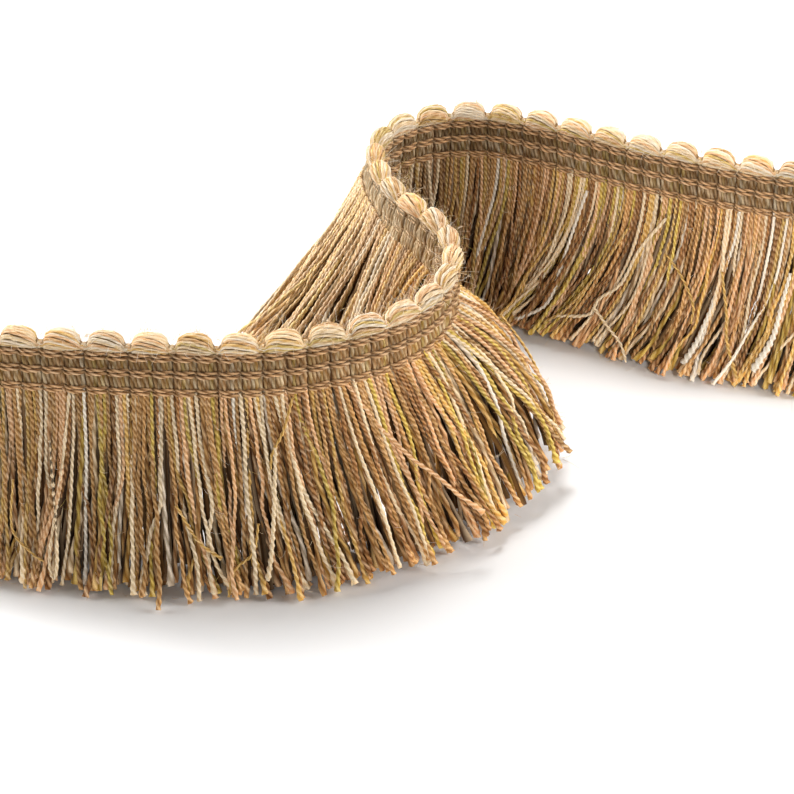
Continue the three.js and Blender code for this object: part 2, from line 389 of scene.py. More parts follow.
def with_paleness(base, along, side):
    """Yarn colours with the share of cream that the trim has at each place, most on its left: partly real
    cream yarn, partly a painted highlight where the pale run faces the light.
    """
    share = (column_at("paleness", along) * (1.0 if side > 0 else RIGHT_FACE_PALENESS))[:, None]
    return base + (np.array(colours().cream) - base) * share


def ply_shades(rng, base, rings, groove_shade=0.72, spread=0.11, crown=1.14):
    """Corner colours of two-ply yarns (n, rings, 4, 3): each ply's crown keeps a colour of its own
    near the base, lifted by crown as a painted highlight, one of them paler, and groove_shade paints
    shade into the grooves between them, darker and deeper."""
    n = len(base)
    # A crown over one is a painted highlight on the top of each ply
    one = base * (crown + rng.normal(0, spread, (n, 1)))
    one = one + (np.array(colours().cream) - one) * rng.uniform(0, PALE_PLY, (n, 1))
    other = base * (crown + rng.normal(0, spread, (n, 1)))
    # Painted shade in the groove between the plies
    shaded_groove = base**GROOVE_SHADE_POWER * groove_shade
    corners = np.stack([one, shaded_groove, other, shaded_groove], axis=1)
    drift = 1 + TONE_DRIFT * np.cumsum(rng.normal(0, 1, (n, rings)), axis=1) / math.sqrt(rings)
    return keep_below(corners[:, None] * drift[:, :, None, None])


def evened(base, share):
    """Colours drawn towards their mean by a share."""
    return base * (1 - share) + base.mean(axis=0) * share


def ring_turns(rng, n, rings, twist):
    """The turn of each ring of a number of yarns, which all twist evenly from a start by chance."""
    return twist * np.arange(rings)[None] + rng.uniform(0, math.pi, (n, 1))


# Materials


FIBRE_DETAIL = 3


def fibre_group():
    """Shared effect: the mottled tone and the fine relief of spun fibre."""
    name = "fibre_mottle"
    if name in bpy.data.node_groups:
        return bpy.data.node_groups[name]
    group = bpy.data.node_groups.new(name, "ShaderNodeTree")
    scale = group.interface.new_socket("Fibres per metre", in_out="INPUT", socket_type="NodeSocketFloat")
    scale.default_value = 6000
    depth = group.interface.new_socket("Contrast", in_out="INPUT", socket_type="NodeSocketFloat")
    depth.default_value = 0.3
    group.interface.new_socket("Tone", in_out="OUTPUT", socket_type="NodeSocketFloat")
    group.interface.new_socket("Relief", in_out="OUTPUT", socket_type="NodeSocketFloat")
    nodes, links = group.nodes, group.links
    inputs = nodes.new("NodeGroupInput")
    outputs = nodes.new("NodeGroupOutput")
    place = nodes.new("ShaderNodeTexCoord")
    fine = nodes.new("ShaderNodeTexNoise")
    fine.inputs["Detail"].default_value = FIBRE_DETAIL
    links.new(place.outputs["Object"], fine.inputs["Vector"])
    links.new(inputs.outputs["Fibres per metre"], fine.inputs["Scale"])
    centred = nodes.new("ShaderNodeMath")
    centred.operation = "SUBTRACT"
    centred.inputs[1].default_value = 0.5
    links.new(fine.outputs["Fac"], centred.inputs[0])
    scaled = nodes.new("ShaderNodeMath")
    scaled.operation = "MULTIPLY"
    links.new(centred.outputs[0], scaled.inputs[0])
    links.new(inputs.outputs["Contrast"], scaled.inputs[1])
    tone = nodes.new("ShaderNodeMath")
    tone.operation = "ADD"
    tone.inputs[1].default_value = 1
    links.new(scaled.outputs[0], tone.inputs[0])
    links.new(tone.outputs[0], outputs.inputs["Tone"])
    links.new(fine.outputs["Fac"], outputs.inputs["Relief"])
    return group


# Finishes: fibres per metre, contrast of their mottle, relief in metres, roughness and sheen
FINISHES = {
    "heading_ground": (4000, 0.6, 0.05 * MM, 0.95, 0.0),
    "weft_yarn": (5200, 0.8, 0.05 * MM, 0.88, 0.1),
    "warp_thread": (7000, 0.4, 0.03 * MM, 0.7, 0.15),
    "loop_yarn": (5200, 0.6, 0.05 * MM, 0.85, 0.35),
    "skirt_yarn": (5200, 0.7, 0.06 * MM, 0.85, 0.12),
    "loose_yarn": (5200, 0.7, 0.06 * MM, 0.85, 0.25),
    "loose_fibre": (5200, 0.3, 0.01 * MM, 0.8, 0.3),
}
MATT_SPECULAR = 0.1
SHEEN_ROUGHNESS = 0.45
SHEEN_TINT = (1, 0.88, 0.68, 1)
RELIEF_STRENGTH = 0.6


def yarn_material(name):
    """Matt spun yarn: the yarn's colour with its painted light and shade, mottled, with a fine fuzzy relief.
    """
    fibres, contrast, relief, roughness, sheen = FINISHES[name]
    material = bpy.data.materials.new(name)
    material.use_nodes = True
    nodes, links = material.node_tree.nodes, material.node_tree.links
    shader = nodes["Principled BSDF"]
    shader.inputs["Roughness"].default_value = roughness
    shader.inputs["Specular IOR Level"].default_value = MATT_SPECULAR
    shader.inputs["Sheen Weight"].default_value = sheen
    shader.inputs["Sheen Roughness"].default_value = SHEEN_ROUGHNESS
    shader.inputs["Sheen Tint"].default_value = SHEEN_TINT
    own = nodes.new("ShaderNodeAttribute")
    own.attribute_name = StrandMesh.COLOUR_NAME
    mottle = nodes.new("ShaderNodeGroup")
    mottle.node_tree = fibre_group()
    mottle.inputs["Fibres per metre"].default_value = fibres
    mottle.inputs["Contrast"].default_value = contrast
    blend = nodes.new("ShaderNodeVectorMath")
    blend.operation = "SCALE"
    links.new(own.outputs["Color"], blend.inputs[0])
    links.new(mottle.outputs["Tone"], blend.inputs["Scale"])
    links.new(blend.outputs["Vector"], shader.inputs["Base Color"])
    bump = nodes.new("ShaderNodeBump")
    bump.inputs["Strength"].default_value = RELIEF_STRENGTH
    bump.inputs["Distance"].default_value = relief
    links.new(mottle.outputs["Relief"], bump.inputs["Height"])
    links.new(bump.outputs["Normal"], shader.inputs["Normal"])
    return material


def plain_material(name, colour, roughness):
    """A plain matt finish for the floor."""
    material = bpy.data.materials.new(name)
    material.use_nodes = True
    shader = material.node_tree.nodes["Principled BSDF"]
    shader.inputs["Base Color"].default_value = (*colour, 1)
    shader.inputs["Roughness"].default_value = roughness
    shader.inputs["Specular IOR Level"].default_value = MATT_SPECULAR
    return material


# The yarns of the skirt, which are also the weft of the heading


YARN_SEED = 7
SECTIONS = 16
SECTION_LENGTH = TOTAL_LENGTH / SECTIONS
# The share of a weft column that its yarns fill, and the chance in their places, tones and depths
COLUMN_FILL = 0.92
PLACE_STRAY = 0.03 * MM
TONE_STRAY = 0.10
DEPTH_STRAY = 0.06 * MM
# Yarns gather into locks. How many locks are drawn, more than the length takes, their widths, how
# far a yarn is pulled to the middle of its lock, and how far tips stray along the trim
LOCK_COUNT = 90
LOCK_WIDTHS = (2.4 * MM, 5.5 * MM)
LOCK_PULL = (0.1, 0.6)
LOCK_STRAY = 1.5 * MM
YARN_STRAY = 0.9 * MM
# How far tips are set in from the outermost ones, how lengths differ, and how high tips end
LOCK_INSET = (-0.6 * MM, 1.8 * MM)
YARN_INSET = (-0.6 * MM, 1.2 * MM)
LOCK_TRIM = 0.5 * MM
YARN_TRIM = 0.45 * MM
TIP_LIFT = 0.35 * MM
# The share of yarns that cross their neighbours, and how far along and out their tips go
CROSSING_SHARE = 0.17
CROSSING_STRAY = 4.0 * MM
CROSSING_OUT = 1.0 * MM
# How far tips may stray past a cut end of the trim
END_SPREAD = 3.0 * MM


class Yarns:
    """Every yarn that shows on one face of the heading and of the skirt under it."""

    def __init__(self, side):
        rng = np.random.default_rng(YARN_SEED + (1 if side > 0 else 2))
        pitch = sizes().loop_pitch / 2
        each = sizes().yarns_in_column / 2
        columns = round(TOTAL_LENGTH / pitch)
        self.side = side
        count = round(columns * each)
        even = (np.arange(count) + 0.5) / count * TOTAL_LENGTH
        column = np.minimum(even // pitch, columns - 1)
        middle = (column + 0.5) * pitch
        self.along = middle + (even - middle) * COLUMN_FILL + rng.normal(0, PLACE_STRAY, count)
        self.base = pick_colours(rng, count, YARN_SHARES) * (1 + rng.normal(0, TONE_STRAY, (count, 1)))
        self.base = with_paleness(self.base, self.along, side)
        self.count = count
        self.depth = rng.uniform(-DEPTH_STRAY, DEPTH_STRAY, count)
        self._lay_tips(rng)

    def _lay_tips(self, rng):
        """Yarns gather into locks: each lock has a middle, a throw and a length of its own."""
        edges = np.cumsum(rng.uniform(*LOCK_WIDTHS, LOCK_COUNT))
        lock = np.searchsorted(edges, self.along)
        locks = lock.max() + 1
        starts = np.concatenate([[0], edges])[:locks]
        middles = (starts + np.concatenate([edges, edges[-1:]])[:locks]) / 2
        count = self.count
        pull = rng.uniform(*LOCK_PULL, locks)[lock]
        self.tip_along = self.along + pull * (middles[lock] - self.along)
        self.tip_along += rng.normal(0, LOCK_STRAY, locks)[lock] + rng.normal(0, YARN_STRAY, count)
        crossing = rng.random(count) < CROSSING_SHARE
        self.tip_along += np.where(crossing, rng.normal(0, CROSSING_STRAY, count), 0)
        self.tip_along = np.clip(self.tip_along, -END_SPREAD, TOTAL_LENGTH + END_SPREAD)
        self.inset = rng.uniform(*LOCK_INSET, locks)[lock] + rng.uniform(*YARN_INSET, count)
        self.inset -= np.where(crossing, CROSSING_OUT, 0)
        self.length = rng.normal(0, LOCK_TRIM, locks)[lock] + rng.normal(0, YARN_TRIM, count)
        self.length += sizes().strand_length
        self.tip_lift = rng.exponential(TIP_LIFT, count)


# A yarn hangs in a curve from root to tip. How far over the heading's foot it starts, its least
# drop as a share of its length, how far down it goes before it bends out, how much less of that
# and how far out a full bulge takes it, and the waves in it, which grow to the tip
START_RISE = 0.9 * MM
LEAST_DROP = 0.4
STRAIGHT_DROP = 0.47
BULGE_LESS = 0.27
BULGE_OUT = 0.75
SWAY_WAVES = (0.7, 1.6, 4.0)
SWAY_GROWTH = 1.1
# The least height of a yarn's middle over the floor, as a share of its width
RESTING = 0.36
# Where the skirt is kicked to the left, its outer yarns ride up over the foot of the heading. The
# paleness of that run says where
KICK_RISE = 3.8 * MM
KICK_OUT = 0.6 * MM


def skirt_lines(root_along, across, tip_along, reach, length, lift, rings, rng, sway, climb=0.0):
    """The middle lines of hanging yarns (n, rings, 3), from the heading's foot to the tip. climb
    is the share of the kicked skirt's rise over the heading that each yarn takes."""
    s = sizes()
    root = Axes(root_along)
    start = root.place(across + KICK_OUT * climb, s.heading_foot + START_RISE + KICK_RISE * climb)
    leave = root.place(across, s.strand_root)
    tip_axes = Axes(np.clip(tip_along, 0, TOTAL_LENGTH))
    beyond = tip_along - np.clip(tip_along, 0, TOTAL_LENGTH)
    tip = tip_axes.origin + tip_axes.left * reach[:, None] + tip_axes.forward * beyond[:, None]
    tip += root.forward * (column_at("ahead", root_along) * MM)[:, None]
    throw = np.linalg.norm((tip - leave)[:, :2], axis=1)
    drop = np.sqrt(np.maximum(length**2 - throw**2, (LEAST_DROP * length) ** 2))
    tip[:, 2] = np.maximum(leave[:, 2] - drop, s.yarn_width / 2) + lift
    bulge = column_at("bulge", root_along)[:, None]
    outward = (tip - start) * (1, 1, 0)
    down = length[:, None] * (STRAIGHT_DROP - BULGE_LESS * bulge)
    droop = start - root.rise * down + outward * (BULGE_OUT * bulge)
    t = np.linspace(0, 1, rings)[None, :, None]
    lines = (1 - t) ** 2 * start[:, None] + 2 * t * (1 - t) * droop[:, None] + t**2 * tip[:, None]
    n = len(root_along)
    for axis in (root.forward, root.left):
        for waves in SWAY_WAVES:
            phase = rng.uniform(0, 2 * math.pi, (n, 1))
            height = rng.normal(0, sway / waves, (n, 1))
            wave = height * np.sin(phase + waves * 2 * math.pi * t[..., 0]) * t[..., 0] ** SWAY_GROWTH
            lines = lines + wave[..., None] * axis[:, None]
    lines[..., 2] = np.maximum(lines[..., 2], s.yarn_width * RESTING)
    return lines, root


# The share of a yarn that is frayed at the cut, how much wider and paler it gets there, and how
# high the waves in its width are and how many radians of them it has
FRAYED = 0.09
FRAY_OPENING = (0.2, 0.9)
FRAY_PALENESS = 0.6
WIDTH_WAVE = 0.05
WIDTH_WAVE_RADIANS = 60


def fray(rings, n, rng):
    """How a yarn opens and pales at its cut end: a width factor and a colour factor per ring."""
    t = np.linspace(0, 1, rings)[None]
    opening = np.clip((t - (1 - FRAYED)) / FRAYED, 0, 1)
    width = 1 + opening * rng.uniform(*FRAY_OPENING, (n, 1))
    width = width + WIDTH_WAVE * np.sin(t * WIDTH_WAVE_RADIANS + rng.uniform(0, PHASE_SPREAD, (n, 1)))
    return width, 1 + FRAY_PALENESS * opening


# The outer yarns: rings to a ply's turn, spare length that the rings allow for, how far out the
# roots lie, spread of the widths, depth as a share of the width, and sway
RINGS_IN_PLY = 2.5
SPARE_LENGTH = 2 * MM
OUTER_FACE = 0.80 * MM
OUTER_WIDTHS = (0.85, 1.1)
OUTER_FLATNESS = 0.7
OUTER_SWAY = 0.85 * MM
OUTER_SEED = 100


def outer_yarns(piece_mesh, yarns, start, end, seed):
    """The twisted outer yarns of one face, between two places along the trim."""
    s = sizes()
    rng = np.random.default_rng(seed)
    mine = (yarns.along >= start) & (yarns.along < end)
    n = int(mine.sum())
    rings = round((s.strand_length + SPARE_LENGTH) / s.ply_length * RINGS_IN_PLY) + 1
    side = yarns.side
    edge = column_at("left" if side > 0 else "right", yarns.tip_along) * MM
    reach = edge - side * yarns.inset
    across = side * (OUTER_FACE + yarns.depth)
    climb = np.clip(2 * column_at("paleness", yarns.along[mine]), 0, 1) ** 2 * (side > 0)
    lines, root = skirt_lines(
        yarns.along[mine], across[mine], yarns.tip_along[mine], reach[mine], yarns.length[mine],
        yarns.tip_lift[mine], rings, rng, OUTER_SWAY, climb
    )
    width, pale = fray(rings, n, rng)
    half = s.yarn_width / 2 * rng.uniform(*OUTER_WIDTHS, (n, 1)) * width
    turn = ring_turns(rng, n, rings, -math.pi / RINGS_IN_PLY)
    # The skirt's painted light and shade, lighter or darker by stretch
    base = yarns.base[mine] * column_at("painted_light", yarns.along[mine])[:, None]
    shades = ply_shades(rng, base, rings) * pale[..., None, None]
    piece_mesh.add(lines, root.forward[:, None], half, half * OUTER_FLATNESS, turn, keep_below(shades))


# The yarns between the faces of a section, in groups: seed, how many, rings, where they lie as
# shares of the way from the left face to the right one, how light painted shade leaves them, the
# turn of each ring, and width as a share of an outer yarn's. The last group is the dark packing,
# painted dark as the shade deep between the faces
INNER_GROUPS = (
    (300, 20, 32, (0.70, 0.98), 0.85, -math.pi / 3, 1.1),
    (400, 12, 32, (0.02, 0.30), 0.85, -math.pi / 3, 1.1),
    (500, 36, 18, (0.2, 0.85), 0.36, 0.0, 1.5),
)
# Where each stands in its share of the section, how far their tips are set in and their roots are
# spread, the mean and spread of what their lengths differ by, and stray along the trim, height,
# sway and flatness as for the outer yarns
INNER_PLACES = (0.1, 0.9)
INNER_INSET = 0.8 * MM
INNER_SPREAD = 1.3 * MM
INNER_TRIM = (-0.3 * MM, 0.7 * MM)
INNER_STRAY = 1.6 * MM
INNER_LIFT = 0.5 * MM
INNER_SWAY = 0.6 * MM
INNER_FLATNESS = 0.8
# The darker their painted shade, the more they all turn tan and the deeper the tone gets
SHADE_TAN = 1.3
SHADE_POWER = 0.8


def inner_yarns(piece_mesh, start, end, seed, count, rings, depth, light, twist, fullness):
    """Yarns between the faces of one section, laid as a row of INNER_GROUPS says."""
    s = sizes()
    rng = np.random.default_rng(seed)
    along = start + (np.arange(count) + rng.uniform(*INNER_PLACES, count)) * (end - start) / count
    left = column_at("left", along) * MM - INNER_INSET
    right = column_at("right", along) * MM + INNER_INSET
    place = rng.uniform(*depth, count)
    reach = left + (right - left) * place
    across = (0.5 - place) * INNER_SPREAD
    length = s.strand_length + rng.normal(*INNER_TRIM, count)
    tip_along = along + rng.normal(0, INNER_STRAY, count)
    lift = rng.exponential(INNER_LIFT, count)
    lines, root = skirt_lines(along, across, tip_along, reach, length, lift, rings, rng, INNER_SWAY)
    width, pale = fray(rings, count, rng)
    half = s.yarn_width / 2 * width * fullness
    turn = ring_turns(rng, count, rings, twist)
    base = with_paleness(pick_colours(rng, count, YARN_SHARES), along, 1 if max(depth) < 0.5 else -1)
    # Painted shade: the less light a group has, the darker, more tan and deeper its yarns are painted, with
    # the skirt's painted light along the trim on top
    base = base + (np.array(colours().tan) - base) * min(1, SHADE_TAN * (1 - light))
    base = base ** (1 + SHADE_POWER * (1 - light)) * light * column_at("painted_light", along)[:, None]
    shades = ply_shades(rng, base, rings) * pale[..., None, None]
    piece_mesh.add(lines, root.forward[:, None], half, half * INNER_FLATNESS, turn, keep_below(shades))


class TRIM_OT_skirt(bpy.types.Operator):
    """Makes the cut skirt: twisted yarns on both faces and plainer ones between them"""

    bl_idname = "trim.skirt"
    bl_label = "Make skirt"

    def execute(self, context):
        material = yarn_material("skirt_yarn")
        faces = [Yarns(1), Yarns(-1)]
        for section in range(SECTIONS):
            start = section * SECTION_LENGTH
            end = start + SECTION_LENGTH
            yarn_mesh = StrandMesh(f"fringe_yarns_{section + 1:02d}")
            for number, yarns in enumerate(faces):
                outer_yarns(yarn_mesh, yarns, start, end, OUTER_SEED + section * 2 + number)
            for seed, *group in INNER_GROUPS:
                inner_yarns(yarn_mesh, start, end, seed + section, *group)
            dress(yarn_mesh.build(material), "fringe_yarn", f"fringe_skirt_{section + 1:02d}")
        return {"FINISHED"}


# The heading


# Heights on the heading, from the line of loops: the tops of the weft and of the ground, how far
# the ground rises into each loop and its foot stands over the heading's, and the warp's paired rows
HEADING_TOP = -1.5 * MM
GROUND_TOP = -1.8 * MM
GROUND_RISE = 2.7 * MM
GROUND_FOOT = 0.25 * MM
GROUND_HALF_THICK = 0.4 * MM
GROUND_STEPS = 577
WARP_ROWS = (-2.45 * MM, -5.8 * MM, -9.6 * MM)
WARP_SPACING = 0.84 * MM
# How wide a band of the weft a warp row presses in
PRESS_WIDTH = 0.85 * MM


def weft_press(height):
    """How far the warp rows press the weft in, by height on the heading."""
    return sum(np.exp(-((height - row) / PRESS_WIDTH) ** 2) for row in WARP_ROWS)


def in_column(along):
    """Share of its own column of the weave that lies before each place."""
    return (along / (sizes().loop_pitch / 2)) % 1


class TRIM_OT_ground(bpy.types.Operator):
    """Makes the inside of the heading, the cloth that the weft and warp close over, painted dark as the
    shade between the columns. Its top rises into every loop"""

    bl_idname = "trim.ground"
    bl_label = "Make ground"

    def execute(self, context):
        s = sizes()
        along = np.linspace(0, TOTAL_LENGTH, GROUND_STEPS)
        axes = Axes(along)
        foot = np.full(GROUND_STEPS, s.heading_foot + GROUND_FOOT)
        top = GROUND_TOP + GROUND_RISE * np.sin(math.pi * ((along / s.loop_pitch) % 1))
        half = np.full(GROUND_STEPS, GROUND_HALF_THICK)
        ring = ((half, foot), (half, top), (-half, top), (-half, foot))
        points = np.stack([axes.place(a, h) for a, h in ring], axis=1)
        near = np.arange(GROUND_STEPS - 1)[:, None] * 4
        side = np.arange(4)[None]
        after = (side + 1) % 4
        corners = (near + side, near + after, near + 4 + after, near + 4 + side)
        quads = np.stack(corners, axis=-1).reshape(-1, 4).tolist()
        last = (GROUND_STEPS - 1) * 4
        quads += [[3, 2, 1, 0], [last, last + 1, last + 2, last + 3]]
        mesh = bpy.data.meshes.new("heading_ground")
        mesh.from_pydata(points.reshape(-1, 3).tolist(), [], quads)
        mesh.update()
        # Painted shade: the whole ground takes the dark ground colour
        tint = mesh.color_attributes.new(StrandMesh.COLOUR_NAME, "FLOAT_COLOR", "POINT")
        tint.data.foreach_set("color", list((*colours().ground, 1.0)) * len(mesh.vertices))
        mesh.materials.append(yarn_material("heading_ground"))
        piece = bpy.data.objects.new("heading_ground", mesh)
        context.scene.collection.objects.link(piece)
        dress(piece, "heading_weave", "heading_band")
        return {"FINISHED"}


# The weft: seed, rings, the turn of each ring, half width with its spread, depth as a share of the
# width, and how far it ends under the heading's foot
WEFT_SEED = 40
WEFT_RINGS = 15
WEFT_TWIST = -math.pi / 4
WEFT_HALF = 0.50 * MM
WEFT_WIDTHS = (0.92, 1.08)
WEFT_FLATNESS = 0.85
WEFT_FOOT = 0.1 * MM
# How far its middle lies in from the heading's face, how far it crowns in its column, the share
# of the crown that is taken off again, and how far the warp presses it in
WEFT_INSET = 0.36 * MM
WEFT_CROWN = 0.30 * MM
CROWN_LEVEL = 0.6
WEFT_PRESS = 0.34 * MM
# Its colours are evened and tinted. A painted shadow darkens it towards the loops, more so on the
# pale run, and painted shade darkens its right face from the back run on
WEFT_EVENNESS = 0.5
WEFT_TINT = np.array((0.62, 0.60, 0.55))
LOOP_SHADOW_REACH = 6.0 * MM
LOOP_SHADOW = 0.25
PALE_RUN_SHADOW = 0.6
BACK_RUN = 190 * MM
BACK_RUN_SHADE = 0.24


class TRIM_OT_weft(bpy.types.Operator):
    """Makes the weft: the upright yarns of every column, on both faces of the heading"""

    bl_idname = "trim.weft"
    bl_label = "Make weft"

    def execute(self, context):
        s = sizes()
        weft = StrandMesh("heading_weft")
        for number, side in enumerate((1, -1)):
            rng = np.random.default_rng(WEFT_SEED + number)
            yarns = Yarns(side)
            n = yarns.count
            height = np.linspace(HEADING_TOP, s.heading_foot - WEFT_FOOT, WEFT_RINGS)
            axes = Axes(np.repeat(yarns.along[:, None], WEFT_RINGS, axis=1))
            crown = WEFT_CROWN * (np.sin(math.pi * in_column(yarns.along)) - CROWN_LEVEL)
            out = s.half_thick - WEFT_INSET - WEFT_PRESS * weft_press(height)
            out = out + (crown + yarns.depth)[:, None]
            lines = axes.place(side * out, np.broadcast_to(height, (n, WEFT_RINGS)))
            half = WEFT_HALF * rng.uniform(*WEFT_WIDTHS, (n, 1))
            turn = ring_turns(rng, n, WEFT_RINGS, WEFT_TWIST)
            dull = with_paleness(evened(yarns.base, WEFT_EVENNESS) * WEFT_TINT, yarns.along, side)
            # The right face takes the skirt's painted light and shade, with more painted shade from the back
            # run on
            if side < 0:
                light = column_at("painted_light", yarns.along)
                light = light * (1 - BACK_RUN_SHADE * (yarns.along > BACK_RUN))
                dull = dull * light[:, None]
            shades = ply_shades(rng, dull, WEFT_RINGS, groove_shade=1.0, spread=0.14, crown=1.0)
            # Painted shadow under the loops, deeper on the pale run
            pale = column_at("paleness", yarns.along) * (side > 0)
            under = np.clip(1 + (height - HEADING_TOP) / LOOP_SHADOW_REACH, 0, 1)
            darker = under * (LOOP_SHADOW + PALE_RUN_SHADOW * pale)[:, None]
            shades = shades * (1 - darker)[..., None, None]
            weft.add(lines, axes.forward, half, half * WEFT_FLATNESS, turn, shades)
        dress(weft.build(yarn_material("weft_yarn")), "heading_weave", "heading_band")
        return {"FINISHED"}


# The warp: seed, step from ring to ring, the turn of each, and how far its ends stay in
WARP_SEED = 61
WARP_STEP = 0.45 * MM
WARP_TWIST = math.pi / 4.2
WARP_END = 0.02 * MM
# How far a thread's middle lies in from the face where it dips and arches out over a column, its
# slant over a column, how far and how often it wanders, the spread of its widths and tones, depth
# as a share of the width, and how dark painted shade leaves it where it dips between columns
WARP_INSET = 0.72 * MM
WARP_ARCH = 0.90 * MM
WARP_SLANT = 0.25 * MM
WARP_WANDER = 0.05 * MM
WANDER_LENGTH = 5.3 * MM
WARP_UNEVENNESS = 0.06
WARP_TONES = (0.9, 1.08)
WARP_FLATNESS = 0.82
DIP_SHADE = 0.3
# For each face: its side, how deep the warp is sunk, its width and its tint. On the back of the
# trim, which is the left face, the weft all but covers it
WARP_FACES = ((1, 0.42 * MM, 0.65, (1.05, 1.2, 1.4)), (-1, 0, 1, (1, 1, 1)))


class TRIM_OT_warp(bpy.types.Operator):
    """Makes the warp: pairs of threads that cross the columns and dip between them"""

    bl_idname = "trim.warp"
    bl_label = "Make warp"

    def execute(self, context):
        s = sizes()
        warp = StrandMesh("warp_threads")
        rings = round(TOTAL_LENGTH / WARP_STEP) + 1
        along = np.linspace(WARP_END, TOTAL_LENGTH - WARP_END, rings)
        axes = Axes(along)
        share = in_column(along)
        arch = np.sin(math.pi * share) ** 0.5
        lines, shades, halves = [], [], []
        rng = np.random.default_rng(WARP_SEED)
        for side, sunk, width, tint in WARP_FACES:
            out = s.half_thick - WARP_INSET - sunk + WARP_ARCH * arch
            for row in WARP_ROWS:
                for thread in (-0.5, 0.5):
                    slant = WARP_SLANT * (share - 0.5)
                    wander = WARP_WANDER * np.sin(along / WANDER_LENGTH + rng.uniform(0, PHASE_SPREAD))
                    lines.append(axes.place(side * out, row + thread * WARP_SPACING + slant + wander))
                    shades.append(np.array(colours().warp) * tint * rng.uniform(*WARP_TONES))
                    halves.append(s.warp_width / 2 * width)
        lines = np.array(lines)
        uneven = 1 + WARP_UNEVENNESS * rng.normal(0, 1, lines.shape[:2]).clip(-1, 1)
        half = np.array(halves)[:, None] * uneven
        turn = ring_turns(rng, len(lines), rings, WARP_TWIST)
        tone = ply_shades(rng, np.array(shades), rings, groove_shade=0.42, spread=0.05, crown=1.3)
        # Painted shade where the threads dip between the columns
        tone = tone * (DIP_SHADE + (1 - DIP_SHADE) * arch)[None, :, None, None]
        warp.add(lines, axes.rise[None], half, half * WARP_FLATNESS, turn, tone)
        dress(warp.build(yarn_material("warp_thread")), "heading_weave", "heading_band")
        return {"FINISHED"}


# The loops: seed, strands to a loop, rings and the turn of each, how far round strands run and
# stray, their half width, the radius, sink and share of a loop's neck, and how square its belly is
LOOP_SEED = 83
LOOP_STRANDS = 20
LOOP_RINGS = 16
LOOP_TWIST = -math.pi / 3
LOOP_SPREAD = math.radians(60)
STRAND_STRAY = 0.3
LOOP_STRAY = 0.2
LOOP_YARN_HALF = 0.33 * MM
LOOP_NECK = 0.7 * MM
NECK_SINK = 1.3 * MM
NECK_SHARE = 0.10
BELLY_POWER = 2.7
# Spread of how full strands lie, overlap of neighbouring loops, width across the trim as a share
# of the height, spread of the strands' widths, thinning at the neck and flatness
LOOP_FULLNESS = (0.86, 0.99)
LOOP_OVERLAP = 1.02
LOOP_ACROSS = 0.95
LOOP_WIDTHS = (0.85, 1.15)
NECK_THINNING = 0.2
LOOP_FLATNESS = 0.8
# How much the strands' colours are evened, spread of the loops' tones, and the tone half way up
# a loop with the painted highlight added at its top and the painted shade taken off at its bottom
LOOP_EVENNESS = 0.3
LOOP_TONES = (0.9, 1.1)
LOOP_MID_SHADE = 0.86
LOOP_TOP_HIGHLIGHT = 0.19
# The core of a loop: rings, sides, radius at the neck, how far it stays in at the belly, and the painted
# shade that darkens it
CORE_RINGS = 9
CORE_SIDES = 8
CORE_NECK = 0.35 * MM
CORE_INSET = 1.1 * MM
CORE_SHADE = 0.6


def loop_belly(t):
    """How full a loop is at each share of its length: a barrel with round ends and a low neck."""
    across = np.clip(np.abs(2 * t - 1) / (1 - 2 * NECK_SHARE), 0, 1)
    return np.sqrt(1 - across**BELLY_POWER)


